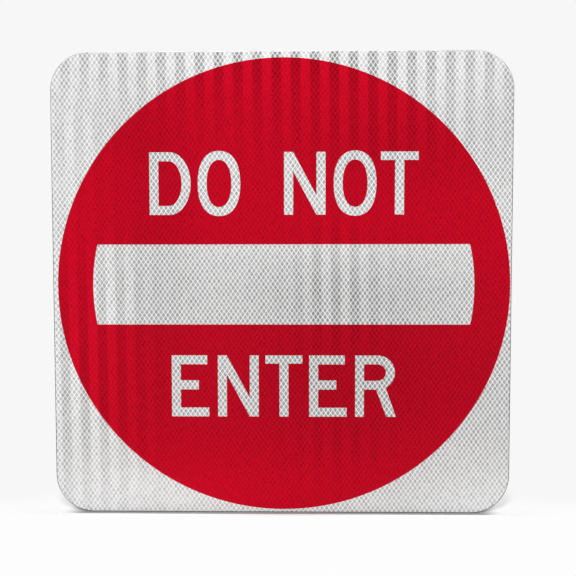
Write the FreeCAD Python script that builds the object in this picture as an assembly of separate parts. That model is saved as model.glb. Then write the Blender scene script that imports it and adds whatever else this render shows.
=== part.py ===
import FreeCAD, Part
import os

# A flat road sign: a square metal blank with rounded corners, white prismatic
# sheeting stuck on its front, and a red film disc with a bar-shaped opening
# stuck on the sheeting. The sign stands upright. Its front faces -Y, its back
# face lies in the plane y = 0, +X is to the right as a reader sees it and +Z is
# up. The origin is the middle of the back face. All sizes are in millimetres.

# The metal blank
blank_width = 457.2
blank_height = 460.4
blank_thickness = 1.6
blank_corner_radius = 38.1
# Shearing rolls the front edge over and leaves a smaller round behind
front_edge_radius = 0.3
back_edge_radius = 0.15

# The white sheeting stops a little short of the blank's edge all round
sheeting_thickness = 0.4
sheeting_setback = 0.8

# The red film disc. The margin is what a disc laid in the middle would leave
# free beside it, and the two shifts say how far off the middle this one lies.
film_thickness = 0.1
disc_margin = 3.2
disc_shift_right = 1.7
disc_shift_down = 1.4

# The bar opening. Its two ends run parallel to the disc's edge, one rim width
# inside it, and its middle sits a little above the middle of the disc.
bar_height = 80.0
bar_rise = 2.0
rim_width = 35.4
bar_corner_radius = 1.0

# Places that follow from the sizes above. The layers are stacked from the back
# face towards the reader, so each one's front has a smaller y than its back.
blank_front = -blank_thickness
sheeting_front = blank_front - sheeting_thickness
film_front = sheeting_front - film_thickness
disc_radius = min(blank_width, blank_height) / 2 - disc_margin
disc_x = disc_shift_right
disc_z = -disc_shift_down
bar_z = disc_z + bar_rise
bar_end_radius = disc_radius - rim_width


def edges_through(shape):
    """The straight edges that run from a flat layer's back to its front."""
    found = []
    for edge in shape.Edges:
        box = edge.BoundBox
        if box.YLength > max(box.XLength, box.ZLength):
            found.append(edge)
    return found


def edges_round(shape, y):
    """The edges that go round a flat layer's back or front face."""
    found = []
    for edge in shape.Edges:
        ends = [vertex.Y for vertex in edge.Vertexes]
        if max(abs(end - y) for end in ends) < Part.Precision.confusion():
            found.append(edge)
    return found


def rounded_plate(width, height, corner_radius, back, front):
    """A flat plate centred on the origin, with its four corners rounded."""
    low_corner = FreeCAD.Vector(-width / 2, front, -height / 2)
    plate = Part.makeBox(width, back - front, height, low_corner)
    return plate.makeFillet(corner_radius, edges_through(plate))


def round_plate(radius, back, front):
    """A flat disc on the middle of the printed design."""
    middle = FreeCAD.Vector(disc_x, back, disc_z)
    towards_reader = FreeCAD.Vector(0, -1, 0)
    return Part.makeCylinder(radius, back - front, middle, towards_reader)


def make_sign_blank():
    blank = rounded_plate(
        blank_width, blank_height, blank_corner_radius, 0.0, blank_front)
    blank = blank.makeFillet(front_edge_radius, edges_round(blank, blank_front))
    return blank.makeFillet(back_edge_radius, edges_round(blank, 0.0))


def make_white_sheeting():
    # Cut parallel to the blank's edge, so the corner arcs share their centres
    return rounded_plate(
        blank_width - 2 * sheeting_setback,
        blank_height - 2 * sheeting_setback,
        blank_corner_radius - sheeting_setback,
        blank_front, sheeting_front)


def make_bar_opening():
    """What the bar takes out of the film: a level band across a smaller disc."""
    low_corner = FreeCAD.Vector(
        disc_x - disc_radius, film_front, bar_z - bar_height / 2)
    band = Part.makeBox(2 * disc_radius, film_thickness, bar_height, low_corner)
    bar = band.common(round_plate(bar_end_radius, sheeting_front, film_front))
    # The cutting knife turns each of the four corners on a small radius
    return bar.makeFillet(bar_corner_radius, edges_through(bar))


def make_red_film():
    disc = round_plate(disc_radius, sheeting_front, film_front)
    return disc.cut(make_bar_opening())


def main():
    pieces = {
        "sign_blank": make_sign_blank(),
        "white_sheeting": make_white_sheeting(),
        "red_film": make_red_film(),
    }
    os.makedirs("parts", exist_ok=True)
    for name, shape in pieces.items():
        shape.Solids[0].exportStep("parts/" + name + ".step")
        box = shape.optimalBoundingBox()
        print("%s: %d solid, %.2f x %.2f x %.2f mm, %.2f cubic cm" % (
            name, len(shape.Solids), box.XLength, box.YLength, box.ZLength,
            shape.Volume / 1000))


main()
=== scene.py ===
# %% [markdown]
# A no entry sign, dressed for its portrait
#
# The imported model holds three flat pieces: the metal blank, the white sheeting
# stuck to its front, and the red film on top. They stay exactly where they are.
# This lesson adds what the solids leave out: the letters cut in the film, and a
# finish for each surface, made from formulas and noise alone.

import math

import bmesh
import bpy
from mathutils import Matrix, Vector


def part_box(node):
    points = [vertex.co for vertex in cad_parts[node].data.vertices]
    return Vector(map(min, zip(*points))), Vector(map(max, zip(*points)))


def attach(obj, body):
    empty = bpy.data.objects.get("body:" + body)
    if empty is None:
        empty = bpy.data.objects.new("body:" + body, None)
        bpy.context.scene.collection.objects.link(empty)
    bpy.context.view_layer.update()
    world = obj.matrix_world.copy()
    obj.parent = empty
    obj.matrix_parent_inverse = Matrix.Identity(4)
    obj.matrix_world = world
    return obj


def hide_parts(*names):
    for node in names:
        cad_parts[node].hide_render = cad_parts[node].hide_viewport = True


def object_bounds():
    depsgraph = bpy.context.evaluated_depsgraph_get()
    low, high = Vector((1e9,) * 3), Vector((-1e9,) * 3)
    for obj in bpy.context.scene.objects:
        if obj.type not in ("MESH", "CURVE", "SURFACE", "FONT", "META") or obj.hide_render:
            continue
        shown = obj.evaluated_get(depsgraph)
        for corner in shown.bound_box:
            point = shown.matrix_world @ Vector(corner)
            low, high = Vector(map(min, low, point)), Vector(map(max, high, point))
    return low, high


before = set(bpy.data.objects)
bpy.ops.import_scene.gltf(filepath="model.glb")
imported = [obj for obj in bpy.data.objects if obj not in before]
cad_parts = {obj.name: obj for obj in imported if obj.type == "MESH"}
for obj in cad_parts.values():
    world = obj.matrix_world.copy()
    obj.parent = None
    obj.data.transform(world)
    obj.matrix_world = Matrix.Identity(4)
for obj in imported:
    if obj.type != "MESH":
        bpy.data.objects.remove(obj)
solid_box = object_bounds()
MM = 0.001

for name in sorted(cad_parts):
    low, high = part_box(name)
    size = ["%.1f" % (length / MM) for length in high - low]
    print(name, "measures", " x ".join(size), "mm")

# %% [markdown]
# The camera
#
# The sign is seen from a little above its middle and a little to its right,
# with a normal lens. A camera could be turned by three angles, but it is easier
# to set by where it stands and what it looks at. The line from one to the other
# gives the turn, and a small roll about that line levels the picture as the
# photograph has it.

# %% Place the camera
CAMERA_AT = Vector((21.13, -798.2, 40.18)) * MM
CAMERA_AIM = Vector((6.65, -2.1, -2.89)) * MM
CAMERA_ROLL = math.radians(-0.081)
FOCAL_LENGTH = 50
SENSOR_WIDTH = 36


def look_from(at, aim):
    """The place and turn of a camera or lamp that stands at one point, facing another."""
    turn = (Vector(aim) - Vector(at)).to_track_quat("-Z", "Y").to_matrix().to_4x4()
    return Matrix.Translation(at) @ turn


camera = bpy.data.objects.new("camera", bpy.data.cameras.new("camera"))
camera.data.lens = FOCAL_LENGTH
camera.data.sensor_width = SENSOR_WIDTH
camera.matrix_world = (look_from(CAMERA_AT, CAMERA_AIM)
                       @ Matrix.Rotation(CAMERA_ROLL, 4, "Z"))
bpy.context.scene.collection.objects.link(camera)
bpy.context.scene.camera = camera
print("camera up", [round(part, 5) for part in camera.matrix_world.col[1][:3]])

# %% [markdown]
# The red film
#
# On the real sign a plotter cuts the red film and the letters are weeded out of
# it, so the white sheeting shows through. The letters could be a text object,
# but no font at hand has their shapes, or they could be cut by booleans, which
# leave slivers in a film this thin. A flat curve works as the plotter does: its
# closed outlines alternate between film and opening, so a letter's outline
# opens the film, and the outline of the shape inside it closes it again. Each
# outline is a run of straight cuts and arcs, kept in millimetres. An arc is one
# bent cut with two handles along its tangents, and up to a quarter turn it is
# true to within 0.03 percent of its radius.

# %% A knife path of corners and arcs
SAME_POINT = 0.01


class KnifePath:
    """One closed cut. Corners are joined by straight cuts, and arcs by curves."""

    def __init__(self):
        self.points = []

    def corner(self, x, z):
        self.points.append({"at": (x, z), "in": None, "out": None})
        return self

    def arc(self, middle, radii, start, end, fullness=1.0):
        """Part of an ellipse, in degrees. A fullness over 1 squares its shoulders."""
        a, b = math.radians(start), math.radians(end)
        reach = 4 / 3 * math.tan((b - a) / 4) * fullness

        def place(angle, ahead=0.0):
            return (middle[0] + radii[0] * (math.cos(angle) - ahead * math.sin(angle)),
                    middle[1] + radii[1] * (math.sin(angle) + ahead * math.cos(angle)))

        if not self.points or math.dist(self.points[-1]["at"], place(a)) > SAME_POINT:
            self.corner(*place(a))
        self.points[-1]["out"] = place(a, reach)
        self.corner(*place(b))
        self.points[-1]["in"] = place(b, -reach)
        return self

    def closed(self):
        """Where the last arc ends on the first point, the two become one."""
        if math.dist(self.points[0]["at"], self.points[-1]["at"]) < SAME_POINT:
            self.points[0]["in"] = self.points.pop()["in"]
        return self


def oval(middle, radii, fullness=1.0):
    path = KnifePath()
    for start in (0, 90, 180, 270):
        path.arc(middle, radii, start, start + 90, fullness)
    return path.closed()


def polygon(*corners):
    path = KnifePath()
    for x, z in corners:
        path.corner(x, z)
    return path


print("a full circle takes", len(oval((0, 0), (1, 1)).points), "points")

# %% [markdown]
# The letters
#
# Road letters are plain strokes of one width, so each is a short function that
# returns its cuts, with its lower left corner at 0, 0. All share a cap height,
# and stems and bars are nearly the same width all through. Drawn from these few
# sizes, a letter stays sharp however near the camera comes, and one function
# serves each letter that comes twice. The plain words name no maker: they are
# the sign's own message, as ON and OFF are a switch's.

# %% Letter shapes
CAP_HEIGHT = 61.9
STEM = 9.1
BAR = 8.9


def bowl_path(left_corners, middle, radii):
    """Straight cuts down the left, then a bowl that swells to the right."""
    path = polygon(*left_corners)
    return path.arc(middle, radii, -90, 0).arc(middle, radii, 0, 90)


def letter_d():
    half = CAP_HEIGHT / 2
    bowl_starts, bowl_reach = 20.1, 21.0
    eye_starts, eye_reach = 19.5, 12.5
    outside = bowl_path([(0, CAP_HEIGHT), (0, 0)], (bowl_starts, half), (bowl_reach, half))
    inside = bowl_path([(STEM, CAP_HEIGHT - BAR), (STEM, BAR)],
                       (eye_starts, half), (eye_reach, half - BAR))
    return [outside, inside]


def letter_o():
    half_width, eye_half_width, overshoot = 21.15, 12.25, 1.2
    fullness, eye_fullness = 1.16, 1.12
    half_height = CAP_HEIGHT / 2 + overshoot
    middle = (half_width, CAP_HEIGHT / 2)
    return [oval(middle, (half_width, half_height), fullness),
            oval(middle, (eye_half_width, half_height - BAR), eye_fullness)]


def letter_n():
    width, stem, slant = 41.0, 9.0, 0.54
    drop = (width - 2 * stem) / slant
    return [polygon((0, 0), (stem, 0), (stem, drop), (width - stem, 0), (width, 0),
                    (width, CAP_HEIGHT), (width - stem, CAP_HEIGHT),
                    (width - stem, CAP_HEIGHT - drop), (stem, CAP_HEIGHT),
                    (0, CAP_HEIGHT))]


def letter_t():
    width, bar = 37.1, 8.3
    under_bar = CAP_HEIGHT - bar
    left, right = (width - STEM) / 2, (width + STEM) / 2
    return [polygon((left, 0), (right, 0), (right, under_bar), (width, under_bar),
                    (width, CAP_HEIGHT), (0, CAP_HEIGHT), (0, under_bar),
                    (left, under_bar))]


def letter_e():
    foot, waist, head = 37.6, 27.2, 35.7
    waist_low, waist_high = 27.4, 36.7
    under_head = CAP_HEIGHT - STEM
    return [polygon((0, 0), (foot, 0), (foot, STEM), (STEM, STEM), (STEM, waist_low),
                    (waist, waist_low), (waist, waist_high), (STEM, waist_high),
                    (STEM, under_head), (head, under_head), (head, CAP_HEIGHT),
                    (0, CAP_HEIGHT))]


def letter_r():
    stem, bowl, eye, bowl_starts = 8.8, 17.2, 8.25, 22.4
    leg_starts, leg_left, leg_right, leg_leaves_bowl = 21.0, 31.25, 40.85, -62
    middle = (bowl_starts, CAP_HEIGHT - bowl)
    under_bowl = CAP_HEIGHT - 2 * bowl
    outside = polygon((0, CAP_HEIGHT), (0, 0), (stem, 0), (stem, under_bowl),
                      (leg_starts, under_bowl), (leg_left, 0), (leg_right, 0))
    outside.arc(middle, (bowl, bowl), leg_leaves_bowl, 0)
    outside.arc(middle, (bowl, bowl), 0, 90)
    inside = bowl_path([(stem, middle[1] + eye), (stem, middle[1] - eye)],
                       middle, (eye, eye))
    return [outside, inside]


for shape in (letter_d, letter_e, letter_n, letter_o, letter_r, letter_t):
    outline = shape()[0]
    print(shape.__name__, "has", len(outline.points), "points round its outside")

# %% [markdown]
# The layout
#
# The disc's size and place are read from its solid. The bar is the opening that
# the solid has: a level band whose ends run parallel to the disc's edge, with
# each corner turned on a small arc. Letters are set one by one, by where their
# left sides stand, because that is how a sign maker spaces a short word.

# %% Lay out the cuts
BAR_HEIGHT = 80.0
BAR_RISE = 2.0
RIM_WIDTH = 35.4
BAR_CORNER = 1.0
# For each line the height of the letters' feet, then the letters with the places
# of their left sides, in mm from the middle of the sign
WORDS = {
    69.9: ((letter_d, -130.9), (letter_o, -82.8), (letter_n, 2.9), (letter_o, 52.0),
           (letter_t, 98.45)),
    -132.4: ((letter_e, -110.3), (letter_n, -63.9), (letter_t, -16.1),
             (letter_e, 27.7), (letter_r, 73.8)),
}
# How many straight steps stand for one arc, and for a quarter of the disc
ARC_STEPS = 24
DISC_STEPS = 96

film_low, film_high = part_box("red_film")
disc_radius = (film_high.x - film_low.x) / 2 / MM
disc_middle = ((film_low + film_high) / 2 / MM).xz


def bar_outline():
    end_radius = disc_radius - RIM_WIDTH
    corner_reach = end_radius - BAR_CORNER
    low = BAR_RISE - BAR_HEIGHT / 2 + BAR_CORNER
    high = BAR_RISE + BAR_HEIGHT / 2 - BAR_CORNER
    low_angle, high_angle = (math.degrees(math.asin(level / corner_reach))
                             for level in (low, high))
    path = KnifePath()

    def corner_arc(side, level, start, end):
        across = side * math.sqrt(corner_reach ** 2 - level ** 2)
        middle = (disc_middle[0] + across, disc_middle[1] + level)
        path.arc(middle, (BAR_CORNER, BAR_CORNER), start, end)

    def end_arc(start, end):
        path.arc(disc_middle, (end_radius, end_radius), start, end)

    corner_arc(1, low, -90, low_angle)
    end_arc(low_angle, high_angle)
    corner_arc(1, high, high_angle, 90)
    corner_arc(-1, high, 90, 180 - high_angle)
    end_arc(180 - high_angle, 180 - low_angle)
    corner_arc(-1, low, 180 - low_angle, 270)
    return path.closed()


# Each cut is a path, how far right and up it is set, and the steps of its arcs
cuts = [(oval(disc_middle, (disc_radius, disc_radius)), 0, 0, DISC_STEPS),
        (bar_outline(), 0, 0, ARC_STEPS)]
for feet, letters in WORDS.items():
    for shape, left in letters:
        cuts += [(path, left, feet, ARC_STEPS) for path in shape()]
print("the knife makes", len(cuts), "closed cuts")

# %% [markdown]
# The film as one mesh
#
# The curve is filled, given the film's thickness and turned into a mesh. Faces
# could be filled and extruded by hand, but the curve already knows which of its
# outlines are holes. A quarter turn about X stands it up, so that its second
# axis is the sign's height. Its doubled points are merged, edges are turned
# where three points in line left a triangle with no area, and its normals are
# recalculated. Then it takes the place of the solid that has no letters.

# %% Draw the curve


def film_curve():
    curve = bpy.data.curves.new("red_film_cut", "CURVE")
    curve.dimensions = "2D"
    curve.fill_mode = "BOTH"
    curve.extrude = (film_high.y - film_low.y) / 2 / MM
    for path, left, feet, steps in cuts:
        spline = curve.splines.new("BEZIER")
        spline.bezier_points.add(len(path.points) - 1)
        spline.use_cyclic_u = True
        spline.use_smooth = False
        spline.resolution_u = steps
        for knot, point in zip(spline.bezier_points, path.points):
            for side, key in (("left", "in"), ("right", "out")):
                bent = point[key] is not None
                x, z = point[key] if bent else point["at"]
                setattr(knot, "handle_%s_type" % side, "FREE" if bent else "VECTOR")
                setattr(knot, "handle_" + side, (x + left, z + feet, 0))
            knot.co = (point["at"][0] + left, point["at"][1] + feet, 0)
    return curve


flat_film = bpy.data.objects.new("red_film_flat", film_curve())
print("the curve has", len(flat_film.data.splines), "outlines")

# %% Make the film
DOUBLED_WITHIN = 0.001 * MM
CUBIC_CM = 1e-6


def make_film(flat_film):
    mesh = bpy.data.meshes.new_from_object(flat_film)
    bpy.data.objects.remove(flat_film)
    middle_y = (film_low.y + film_high.y) / 2
    mesh.transform(Matrix.Translation((0, middle_y, 0))
                   @ Matrix.Rotation(math.radians(90), 4, "X") @ Matrix.Scale(MM, 4))
    shape = bmesh.new()
    shape.from_mesh(mesh)
    bmesh.ops.remove_doubles(shape, verts=shape.verts, dist=DOUBLED_WITHIN)
    bmesh.ops.beautify_fill(shape, faces=shape.faces, edges=shape.edges)
    bmesh.ops.recalc_face_normals(shape, faces=shape.faces)
    open_edges = [edge for edge in shape.edges if not edge.is_manifold]
    print("film: %d faces, %d open edges, %.3f cubic cm" % (
        len(shape.faces), len(open_edges), shape.calc_volume() / CUBIC_CM))
    shape.to_mesh(mesh)
    shape.free()
    piece = bpy.data.objects.new("red_film_lettered", mesh)
    bpy.context.scene.collection.objects.link(piece)
    return piece


red_film = make_film(flat_film)
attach(red_film, "root")
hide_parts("red_film")

# %% [markdown]
# Finishes as formulas
#
# A finish here is a small sum done at every point of a surface. Wiring each
# step by hand hides the formula, so a Signal stands for a number that flows
# through the material, and ordinary arithmetic on it adds the Math nodes.

# %% A number that flows through a material


class Signal:
    """A socket in a node tree that can be added, subtracted, multiplied and ramped."""

    def __init__(self, tree, socket):
        self.tree = tree
        self.socket = socket

    def math(self, operation, *others):
        node = self.tree.nodes.new("ShaderNodeMath")
        node.operation = operation
        for entry, item in zip(node.inputs, (self,) + others):
            feed(self.tree, entry, item)
        return Signal(self.tree, node.outputs[0])

    def __add__(self, other):
        return self.math("ADD", other)

    def __sub__(self, other):
        return self.math("SUBTRACT", other)

    def __mul__(self, other):
        return self.math("MULTIPLY", other)

    def ramp(self, low, high, to_low=0.0, to_high=1.0):
        """A smooth step between two levels."""
        node = self.tree.nodes.new("ShaderNodeMapRange")
        node.interpolation_type = "SMOOTHSTEP"
        for entry, item in zip(node.inputs, (self, low, high, to_low, to_high)):
            feed(self.tree, entry, item)
        return Signal(self.tree, node.outputs[0])


def feed(tree, entry, item):
    """Connects a signal or socket to an entry, or sets the entry to a value."""
    if isinstance(item, Signal):
        tree.links.new(item.socket, entry)
    elif isinstance(item, bpy.types.NodeSocket):
        tree.links.new(item, entry)
    elif entry.type == "RGBA":
        entry.default_value = (*item, 1.0)
    else:
        entry.default_value = item


def add_up(signals):
    first, *others = signals
    return sum(others, first)


print("a signal can be added, subtracted, multiplied and ramped")

# %% [markdown]
# Places and colours
#
# A pattern starts from where a point lies on the sign. The pieces could be given
# maps of their own, but they are flat and lie about the sign's middle, so their
# own coordinates already measure them. Those come in metres, and the sizes of
# the patterns are in millimetres. A colour is mixed from two, or made lighter
# and darker by a strength, and these two steps are all that the finishes need.

# %% Places and colours


def split(tree, vector):
    """The three parts of a vector, as signals."""
    node = tree.nodes.new("ShaderNodeSeparateXYZ")
    tree.links.new(vector, node.inputs[0])
    return [Signal(tree, output) for output in node.outputs]


def object_place(tree):
    """The object's own coordinates in millimetres, as three signals."""
    coordinates = tree.nodes.new("ShaderNodeTexCoord")
    return [part * (1 / MM) for part in split(tree, coordinates.outputs["Object"])]


def combine(tree, x, y, z):
    node = tree.nodes.new("ShaderNodeCombineXYZ")
    for entry, item in zip(node.inputs, (x, y, z)):
        feed(tree, entry, item)
    return node.outputs[0]


def blend_colours(tree, share, first, second):
    """The node can mix other kinds of values too, so its colours are picked out."""
    node = tree.nodes.new("ShaderNodeMix")
    node.data_type = "RGBA"
    feed(tree, node.inputs["Factor"], share)
    entries = [entry for entry in node.inputs if entry.type == "RGBA"]
    for entry, colour in zip(entries, (first, second)):
        feed(tree, entry, colour)
    return next(output for output in node.outputs if output.type == "RGBA")


def scale_colour(tree, colour, strength):
    node = tree.nodes.new("ShaderNodeVectorMath")
    node.operation = "SCALE"
    feed(tree, node.inputs[0], colour)
    feed(tree, node.inputs["Scale"], strength)
    return node.outputs[0]


print("a pattern's unit is", MM, "metres")

# %% [markdown]
# From a finish to a piece
#
# A new material comes with one shader, which can be plastic, metal or paint, so
# it is kept and its entries are set or fed. The carried over pieces already have
# a slot for their finish. The new film has none, so it gets one.

# %% Start a material and put it on


def new_material(name):
    material = bpy.data.materials.new(name)
    material.use_nodes = True
    tree = material.node_tree
    return material, tree, tree.nodes["Principled BSDF"]


def set_shader(shader, **values):
    for name, value in values.items():
        feed(shader.id_data, shader.inputs[name.replace("_", " ")], value)


def dress(piece, material):
    if not piece.material_slots:
        piece.data.materials.append(material)
    for slot in piece.material_slots:
        slot.material = material
    print(piece.name, "wears", material.name)


for name in sorted(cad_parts):
    print(name, "has", len(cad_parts[name].material_slots), "slot for a finish")

# %% [markdown]
# The prismatic sheeting's pattern
#
# Reflective sheeting is a clear film whose back is pressed into tiny prisms. It
# is welded to a white backing along a fine diamond net, so each cell keeps the
# air that its prisms need. The welds stay white from everywhere. The cells send
# light back where it came from, so they look light or grey, and they alternate
# in upright lanes where the prisms point left or right. The net could be
# modelled, but it lies inside a smooth film, so it belongs to the finish. Two
# sets of slanting stripes make it, and they swell where they cross, which
# rounds the cells. The number of the cell, fed to a noise, gives each cell a
# shade of its own, and a fine noise is the glitter of its prisms.

# %% Sizes of the net
CELL_WIDTH = 4.693
CELL_HEIGHT = 6.682
NET_LEAN = math.radians(0.54)
# How far the two sets of stripes are shifted, in cells
NET_START = (0.455, 0.097)
WELD_WIDTH = 0.62
WELD_SOFTNESS = 0.4
# The power that rounds a cell: 2 would give an ellipse, and more is squarer
CELL_ROUNDING = 4
SPARK_SIZE = 1.4
SPARK_DETAIL = 1.0

stripe_pitch = 1 / math.hypot(1 / CELL_WIDTH, 1 / CELL_HEIGHT)
print("cells are %.1f by %.1f mm, and welds lie %.2f mm apart" % (
    CELL_WIDTH, CELL_HEIGHT, stripe_pitch))

# %% Draw the net


def weld_net(across, up):
    """The welds, how far each point is from its cell's centre, and the cell's number."""
    column, row = across * (1 / CELL_WIDTH), up * (1 / CELL_HEIGHT)
    stripes = [column - row + NET_START[0], column + row + NET_START[1]]

    # across each stripe: 0 midway between two welds, 1 on a weld
    nearness = [((stripe.math("FRACT") - 0.5) * 2.0).math("ABSOLUTE")
                for stripe in stripes]
    powers = add_up(near.math("POWER", CELL_ROUNDING) for near in nearness)
    from_centre = powers.math("POWER", 1 / CELL_ROUNDING)
    weld_starts = 1 - (WELD_WIDTH + WELD_SOFTNESS) / stripe_pitch
    weld_full = 1 - (WELD_WIDTH - WELD_SOFTNESS) / stripe_pitch
    cell_number = [stripe.math("FLOOR") for stripe in stripes]
    return from_centre.ramp(weld_starts, weld_full), from_centre, cell_number


def cell_chance(tree, cell_number):
    """A number from 0 to 1 that is the same all over a cell."""
    noise = tree.nodes.new("ShaderNodeTexWhiteNoise")
    noise.noise_dimensions = "2D"
    feed(tree, noise.inputs["Vector"], combine(tree, *cell_number, 0.0))
    return Signal(tree, noise.outputs["Value"])


def glitter(tree, x, z):
    """The fine sparkle of the prisms, about zero."""
    noise = tree.nodes.new("ShaderNodeTexNoise")
    feed(tree, noise.inputs["Vector"], combine(tree, x, 0.0, z))
    noise.inputs["Scale"].default_value = 1 / SPARK_SIZE
    noise.inputs["Detail"].default_value = SPARK_DETAIL
    return Signal(tree, noise.outputs[0]) - 0.5


print("the net leans by %.2f degrees" % math.degrees(NET_LEAN))

# %% [markdown]
# Lanes and patches of painted light and shade
#
# The lanes stand out along the top, in the middle and at the left, and hardly
# show elsewhere, and how strongly they show is painted light. Whole areas are
# also painted paler or darker than others, as painted light and shade. On the
# real sign the lamps and a slight bend of the sheet decide that. True prisms
# would show it too, but there are millions of them, so a few soft patches set
# it: each has a middle, a spread across and up, and a strength.

# %% Where the lanes stand out
LANE_PERIOD = 18.96
LANE_START = 6.9
LEFT_LANE_START = -0.3
# How much steeper a lane's edge is than a plain wave
LANE_EDGE = 3.2

# Each patch: middle, spread and strength, in mm from the middle of the sign
# How strongly the lanes show in each of these patches is painted light
TOP_LANES = (((20, 232), (280, 46), 0.205), ((85, 160), (120, 38), 0.085))
MIDDLE_LANES = (((55, 0), (40, 60), 0.16), ((60, -160), (50, 30), 0.07))
LEFT_LANES = (((-200, -95), (62, 118), 0.19), ((-165, 0), (24, 35), 0.09),
              ((-210, 150), (40, 45), 0.10))
# Painted shade where the cells send back less light towards the reader, and painted light
# where more
PAINTED_LIGHT_AND_SHADE = (((68, -90), (138, 87), 0.24), ((62, -3), (125, 36), 0.175),
               ((-122, 10), (38, 170), 0.12), ((115, 138), (95, 46), 0.14),
               ((-145, 150), (40, 35), 0.09), ((215, -100), (50, 80), 0.07),
               ((-120, -215), (170, 40), -0.175), ((205, -225), (60, 35), -0.14),
               ((-210, 40), (32, 110), -0.06), ((215, 160), (28, 50), 0.06),
               ((85, 222), (85, 24), 0.05), ((-150, 0), (50, 30), 0.04),
               ((-175, -62), (38, 50), -0.025))
# The welds share only part of that painted light and shade
WELD_SHARE = 0.4
# A painted dim area deepens the shade in its cells' centres, and so does a dark top lane
PAINTED_SHADE_CENTRE_GAIN = 0.55
TOP_CENTRE_GAIN = 0.8

print("lanes repeat every %.1f mm, and %d patches dim or lighten the cells" % (
    LANE_PERIOD, len(PAINTED_LIGHT_AND_SHADE)))

# %% Work out the sheeting's pattern


def patches(x, z, table):
    """Soft patches, each full in its middle and falling away smoothly all round."""

    def patch(middle, spread, strength):
        across = (x - middle[0]) * (1 / spread[0])
        up = (z - middle[1]) * (1 / spread[1])
        return ((across * across + up * up) * -1.0).math("EXPONENT") * strength

    return add_up(patch(*row) for row in table)


def lanes(across, start):
    """Upright lanes, 1 where they are light and -1 where they are dark."""
    wave = ((across - start) * (2 * math.pi / LANE_PERIOD)).math("COSINE")
    return (wave * LANE_EDGE).math("MAXIMUM", -1.0).math("MINIMUM", 1.0)


def sheeting_pattern(tree):
    """Signals for the welds, the painted light and shade of cells and welds, and each
    cell's chance.
    """
    x, _, z = object_place(tree)
    lean_x = x * math.cos(NET_LEAN) + z * math.sin(NET_LEAN)
    lean_z = z * math.cos(NET_LEAN) - x * math.sin(NET_LEAN)
    weld, from_centre, cell_number = weld_net(lean_x, lean_z)

    # painted shade over whole areas of the face, and painted light where a patch is
    # negative
    dim = patches(x, z, PAINTED_LIGHT_AND_SHADE)
    # the lanes are the prisms' own, and their light and dark, and how strongly they show,
    # is painted light
    wave = lanes(lean_x, LANE_START)
    top = wave * patches(x, z, TOP_LANES)
    light = (top + wave * patches(x, z, MIDDLE_LANES)
             + lanes(lean_x, LEFT_LANE_START) * patches(x, z, LEFT_LANES) - dim + 1.0)
    return {"weld": weld, "from_centre": from_centre, "light": light,
            "weld_light": light * WELD_SHARE + (1 - WELD_SHARE),
            "depth": dim * PAINTED_SHADE_CENTRE_GAIN - top * TOP_CENTRE_GAIN,
            "chance": cell_chance(tree, cell_number), "spark": glitter(tree, x, z)}


print("the welds follow %d percent of the cells' light" % (100 * WELD_SHARE))

# %% [markdown]
# White sheeting
#
# The white face mixes two colours by the weld signal: the even white of a weld,
# and the greyer white of a cell, which follows the lanes and the painted light
# and shade and darkens towards the cell's centre, most of all in a dark lane.
# The welds share only part of that painted light. A gloss paint would be one
# shiny white, but here the white is dull and lies under a smooth clear skin, so
# the skin is the shader's coat. Its numbers are the same all over, so they are
# set on the shader itself.

# %% Make the white sheeting's finish
WELD_WHITE = (0.90, 0.90, 0.90)
CELL_WHITE = (0.60, 0.60, 0.60)
CELL_CENTRE_SHADE = 0.155
CELL_LANE_DEPTH = 1.0
CELL_VARIETY = 0.18
SPARK = 1.1
# The hollow of a cell, measured from its centre, where a weld is at 1
HOLLOW_STARTS = 0.88
HOLLOW_FULL = 0.45
COLOUR_ROUGHNESS = 0.55
COLOUR_IOR = 1.45
SKIN_ROUGHNESS = 0.07
SKIN_IOR = 1.49


def glossy_skin(shader):
    """The smooth clear face that both films share."""
    set_shader(shader, Roughness=COLOUR_ROUGHNESS, IOR=COLOUR_IOR, Specular_IOR_Level=0.0,
               Coat_Weight=1.0, Coat_Roughness=SKIN_ROUGHNESS, Coat_IOR=SKIN_IOR)


def cell_shade(pattern, depth, lane_depth, variety):
    """The cell's light with its painted light and shade: shaded in its centre, a little
    different in each.
    """
    depth_here = pattern["depth"] * lane_depth + depth
    hollow = pattern["from_centre"].ramp(HOLLOW_STARTS, HOLLOW_FULL) * depth_here
    own = (pattern["chance"] - 0.5) * variety + pattern["spark"] * SPARK
    return pattern["light"] * (own - hollow + 1.0)


def white_sheeting_finish():
    material, tree, shader = new_material("white_sheeting_finish")
    pattern = sheeting_pattern(tree)
    shade = cell_shade(pattern, CELL_CENTRE_SHADE, CELL_LANE_DEPTH, CELL_VARIETY)
    cells = scale_colour(tree, CELL_WHITE, shade)
    welds = scale_colour(tree, WELD_WHITE, pattern["weld_light"])
    set_shader(shader, Base_Color=blend_colours(tree, pattern["weld"], cells, welds))
    glossy_skin(shader)
    return material


dress(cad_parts["white_sheeting"], white_sheeting_finish())

# %% [markdown]
# Red film
#
# The red layer is clear, so the net and the lanes show through it, but only
# faintly: light crosses the film twice, and the white of the welds comes back
# as a slightly lighter red. A clear red shader over the white would be slow and
# noisy in so thin a layer. The same pattern, with its painted light and shade,
# drives an even red instead, with the two colours closer together, cells that
# differ less, and less depth in the dark lanes.

# %% Make the red film's finish
WELD_RED = (0.586, 0.004, 0.021)
CELL_RED = (0.507, 0.0014, 0.014)
RED_WELD_STRENGTH = 0.6
RED_CENTRE_SHADE = 0.075
RED_LANE_DEPTH = 0.6
RED_VARIETY = 0.10


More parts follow.
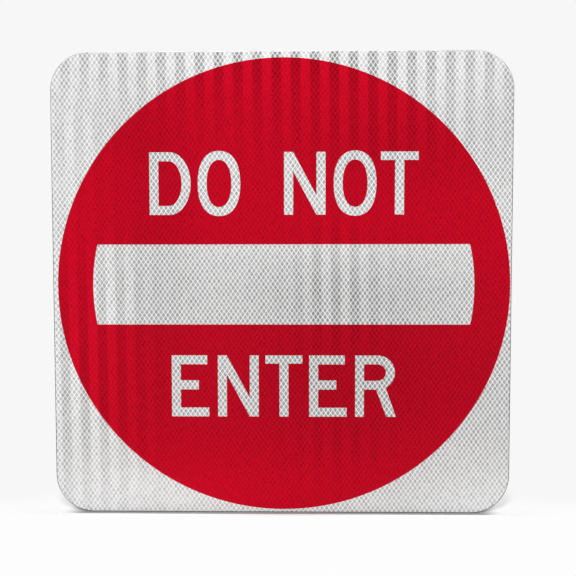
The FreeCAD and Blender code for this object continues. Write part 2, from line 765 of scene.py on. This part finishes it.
def red_film_finish():
    material, tree, shader = new_material("red_film_finish")
    pattern = sheeting_pattern(tree)
    shade = cell_shade(pattern, RED_CENTRE_SHADE, RED_LANE_DEPTH, RED_VARIETY)
    cells = scale_colour(tree, CELL_RED, shade)
    welds = scale_colour(tree, WELD_RED, pattern["weld_light"])
    weld = pattern["weld"] * RED_WELD_STRENGTH
    set_shader(shader, Base_Color=blend_colours(tree, weld, cells, welds))
    glossy_skin(shader)
    return material


dress(red_film, red_film_finish())

# %% [markdown]
# Mill aluminium
#
# The blank is rolled sheet, so its back carries fine straight grain, rolled
# lines, broad faint streaks and a little haze. A picture of such metal would
# blur close up, but a noise squeezed along one direction draws them all at
# their true size. The sheared edges are duller than the faces, and dullest and
# darkest where the metal tore away behind the band that the blade pressed. The
# two bands are told apart by their depth in the sheet.

# %% Sizes of the metal's marks
# Each mark's width and length in mm, and the detail of its noise
MARKS = {"grain": (0.5, 60, 4.0), "line": (2.2, 220, 2.0), "streak": (16, 700, 2.0),
         "haze": (70, 90, 3.0)}
# How much each mark changes the shade, and how much the roughness
SHADE_GAINS = {"grain": 0.22, "line": 0.24, "streak": 0.26, "haze": 0.10}
ROUGH_GAINS = {"grain": 0.16, "streak": 0.14, "haze": 0.20}

SHEET_GREY = (0.74, 0.75, 0.76)
TORN_GREY = (0.50, 0.51, 0.52)
SHEET_ROUGHNESS = 0.36
EDGE_DULLNESS = 0.34
TORN_DULLNESS = 0.10
# How squarely a point looks forwards or back: a face above this, an edge below
FACE_FROM = 0.7
EDGE_FROM = 0.2
PRESSED_DEPTH = -0.9
BAND_SOFTNESS = 0.15
BUMP_STRENGTH = 0.25
BUMP_DEPTH = 0.01 * MM

print("the metal has", len(MARKS), "kinds of marks:", ", ".join(MARKS))

# %% Make the metal's finish


def stretched_noise(tree, place, across, along, detail):
    """Streaks that run up the sheet, this wide and this long in millimetres."""
    noise = tree.nodes.new("ShaderNodeTexNoise")
    x, y, z = place
    feed(tree, noise.inputs["Vector"],
         combine(tree, x * (1 / across), y * (1 / across), z * (1 / along)))
    noise.inputs["Scale"].default_value = 1.0
    noise.inputs["Detail"].default_value = detail
    return Signal(tree, noise.outputs[0])


def unevenness(marks, gains):
    """A noise stays about one half, so this sum of several stays about zero."""
    return add_up((marks[name] - 0.5) * gain for name, gain in gains.items())


def mill_aluminium_finish():
    material, tree, shader = new_material("mill_aluminium_finish")
    place = object_place(tree)
    marks = {name: stretched_noise(tree, place, *size) for name, size in MARKS.items()}

    normal = tree.nodes.new("ShaderNodeNewGeometry").outputs["Normal"]
    _, back, _ = split(tree, normal)
    edge = back.math("ABSOLUTE").ramp(FACE_FROM, EDGE_FROM)
    depth = place[1]
    torn = depth.ramp(PRESSED_DEPTH - BAND_SOFTNESS, PRESSED_DEPTH + BAND_SOFTNESS) * edge

    colour = scale_colour(tree, SHEET_GREY, unevenness(marks, SHADE_GAINS) + 1.0)
    rough = (unevenness(marks, ROUGH_GAINS) + edge * EDGE_DULLNESS
             + torn * TORN_DULLNESS + SHEET_ROUGHNESS)
    set_shader(shader, Base_Color=blend_colours(tree, torn, colour, TORN_GREY),
               Metallic=1.0, Roughness=rough)
    bump = tree.nodes.new("ShaderNodeBump")
    bump.inputs["Strength"].default_value = BUMP_STRENGTH
    bump.inputs["Distance"].default_value = BUMP_DEPTH
    feed(tree, bump.inputs["Height"], marks["grain"])
    tree.links.new(bump.outputs[0], shader.inputs["Normal"])
    return material


dress(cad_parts["sign_blank"], mill_aluminium_finish())

# %% [markdown]
# Floor and background
#
# The sign stands on a wide pale disc, which catches its soft shadow and is
# painted darker close to the foot, as a contact shadow is. A plain floor would
# show a horizon, so this one fades into the background's own white a few
# centimetres from the foot, for the camera alone. In front of the sign it
# fades to a paler white, a painted pool of light that goes out again further off.

# %% Sizes of the floor and its shadow
FLOOR_RADIUS = 6.0
FLOOR_SIDES = 96
FLOOR_GAP = 0.2 * MM
FLOOR_ROUGHNESS = 0.9
FLOOR_PALE = 0.96
# How much lighter the camera sees the floor than the sign does
SEEN_GAIN = 1.38
BACKGROUND = 0.93
POOL_WHITE = 0.985
# Distances in mm, from the foot or, for the pool, from the sign's middle
FOOT_HALF_LENGTH = 193
FADE_FROM = 28
FADE_TO = 110
CONTACT_NEAR = 4
CONTACT_FAR = 30
POOL_FROM = 300
POOL_TO = 900
POOL_EDGE = 50
# In front the shadow is full for this many mm, then fades this much faster
FRONT_LINE = 4.0
FRONT_HASTE = 14
CONTACT_SHADE = 0.68

print("the floor fades from %d to %d mm behind the foot" % (FADE_FROM, FADE_TO))

# %% Lay the floor


def floor_finish():
    material, tree, shader = new_material("pale_floor")
    x, y, _ = object_place(tree)
    past_end = (x.math("ABSOLUTE") - FOOT_HALF_LENGTH).math("MAXIMUM", 0.0)
    in_front = (y - film_low.y / MM + FRONT_LINE) * -FRONT_HASTE
    from_foot = y.math("MAXIMUM", in_front).math("MAXIMUM", 0.0)
    distance = (past_end * past_end + from_foot * from_foot).math("SQRT")
    away = distance.ramp(FADE_FROM, FADE_TO)
    contact = distance.ramp(CONTACT_FAR, CONTACT_NEAR, 1.0, 1 - CONTACT_SHADE)
    eye = tree.nodes.new("ShaderNodeLightPath")
    far = tree.nodes.new("ShaderNodeEmission")
    # A painted pool of light on the floor in front of the sign, for the camera alone
    pool = (x * x + y * y).math("SQRT").ramp(POOL_TO, POOL_FROM)
    glow = y.ramp(POOL_EDGE, 0) * pool * (POOL_WHITE - BACKGROUND) + BACKGROUND
    feed(tree, far.inputs["Color"], combine(tree, glow, glow, glow))
    camera_ray = Signal(tree, eye.outputs["Is Camera Ray"])
    pale = contact * (camera_ray * (SEEN_GAIN - 1.0) + 1.0) * FLOOR_PALE
    set_shader(shader, Base_Color=combine(tree, pale, pale, pale),
               Roughness=FLOOR_ROUGHNESS)
    mix = tree.nodes.new("ShaderNodeMixShader")
    feed(tree, mix.inputs[0], away * camera_ray)
    tree.links.new(shader.outputs[0], mix.inputs[1])
    tree.links.new(far.outputs[0], mix.inputs[2])
    tree.links.new(mix.outputs[0], tree.nodes["Material Output"].inputs["Surface"])
    return material


def make_floor():
    shape = bmesh.new()
    bmesh.ops.create_circle(shape, cap_ends=True, radius=FLOOR_RADIUS,
                            segments=FLOOR_SIDES)
    bmesh.ops.translate(shape, verts=shape.verts,
                        vec=(0, 0, solid_box[0].z - FLOOR_GAP))
    mesh = bpy.data.meshes.new("floor")
    shape.to_mesh(mesh)
    shape.free()
    piece = bpy.data.objects.new("floor", mesh)
    bpy.context.scene.collection.objects.link(piece)
    return piece


floor = make_floor()
dress(floor, floor_finish())
floor.visible_glossy = False

# %% [markdown]
# Light
#
# Two soft lamps stand high in front of the sign, a little to each side, so its
# shadow keeps close to it, and what the smooth face mirrors of them passes
# below the camera. A weak one behind helps the back. One big lamp would light
# the face as evenly, but would be mirrored in it. The world gives an even fill.
# What shiny surfaces mirror is kept apart from what lights them: in front of
# the sign they see a dim studio, which is why the red stays deep, and behind it
# a pale backdrop that darkens low and to the left, which gives the metal tone.

# %% Set the lamps
# Each lamp's place and the width of its disc in metres, and its power in watts
LAMPS = {"key_left": ((-0.88, -3.70, 2.76), 0.8, 77),
         "key_right": ((0.72, -3.73, 2.76), 0.8, 65.5),
         "behind": ((0.9, 1.6, 1.2), 1.0, 2)}
SIGN_MIDDLE = (0, 0, 0)

for name, (at, width, power) in LAMPS.items():
    lamp = bpy.data.objects.new(name, bpy.data.lights.new(name, "AREA"))
    lamp.data.shape = "DISK"
    lamp.data.size = width
    lamp.data.energy = power
    lamp.matrix_world = look_from(at, SIGN_MIDDLE)
    bpy.context.scene.collection.objects.link(lamp)
    print(name, "gives", power, "watts from %.1f metres" % Vector(at).length)

# %% Light the world
FILL_LEVEL = 0.33
STUDIO_DIMNESS = 0.03
# The backdrop's share of white at its left and low ends, and how far to each
# side of the middle it changes. The last is how softly it meets the dim studio.
BACKDROP_LEFT = 0.84
BACKDROP_LOW = 0.62
SIDE_REACH = 0.6
HEIGHT_REACH = 0.5
FRONT_REACH = 0.3


def light_the_world():
    world = bpy.data.worlds.new("studio")
    world.use_nodes = True
    bpy.context.scene.world = world
    tree = world.node_tree
    eye = tree.nodes.new("ShaderNodeLightPath")
    seen, mirrored, through = (Signal(tree, eye.outputs[name]) for name in (
        "Is Camera Ray", "Is Glossy Ray", "Is Transmission Ray"))
    heading = tree.nodes.new("ShaderNodeTexCoord").outputs["Generated"]
    right, back, up = split(tree, heading)
    backdrop = (right.ramp(-SIDE_REACH, SIDE_REACH, BACKDROP_LEFT, 1.0)
                * up.ramp(-HEIGHT_REACH, HEIGHT_REACH, BACKDROP_LOW, 1.0) * BACKGROUND)
    mirror = (back.ramp(-FRONT_REACH, FRONT_REACH) * (backdrop - STUDIO_DIMNESS)
              + STUDIO_DIMNESS)
    level = ((seen + through) * (BACKGROUND - FILL_LEVEL)
             + mirrored * (mirror - FILL_LEVEL) + FILL_LEVEL)
    shade = tree.nodes["Background"]
    feed(tree, shade.inputs["Color"], combine(tree, level, level, level))
    shade.inputs["Strength"].default_value = 1.0
    print("the world's light is worked out by", len(tree.nodes), "nodes")


light_the_world()

# %% [markdown]
# Colour view
#
# Colours are shown as they are, with the plain Standard view.

# %% Finish
bpy.context.scene.view_settings.view_transform = "Standard"
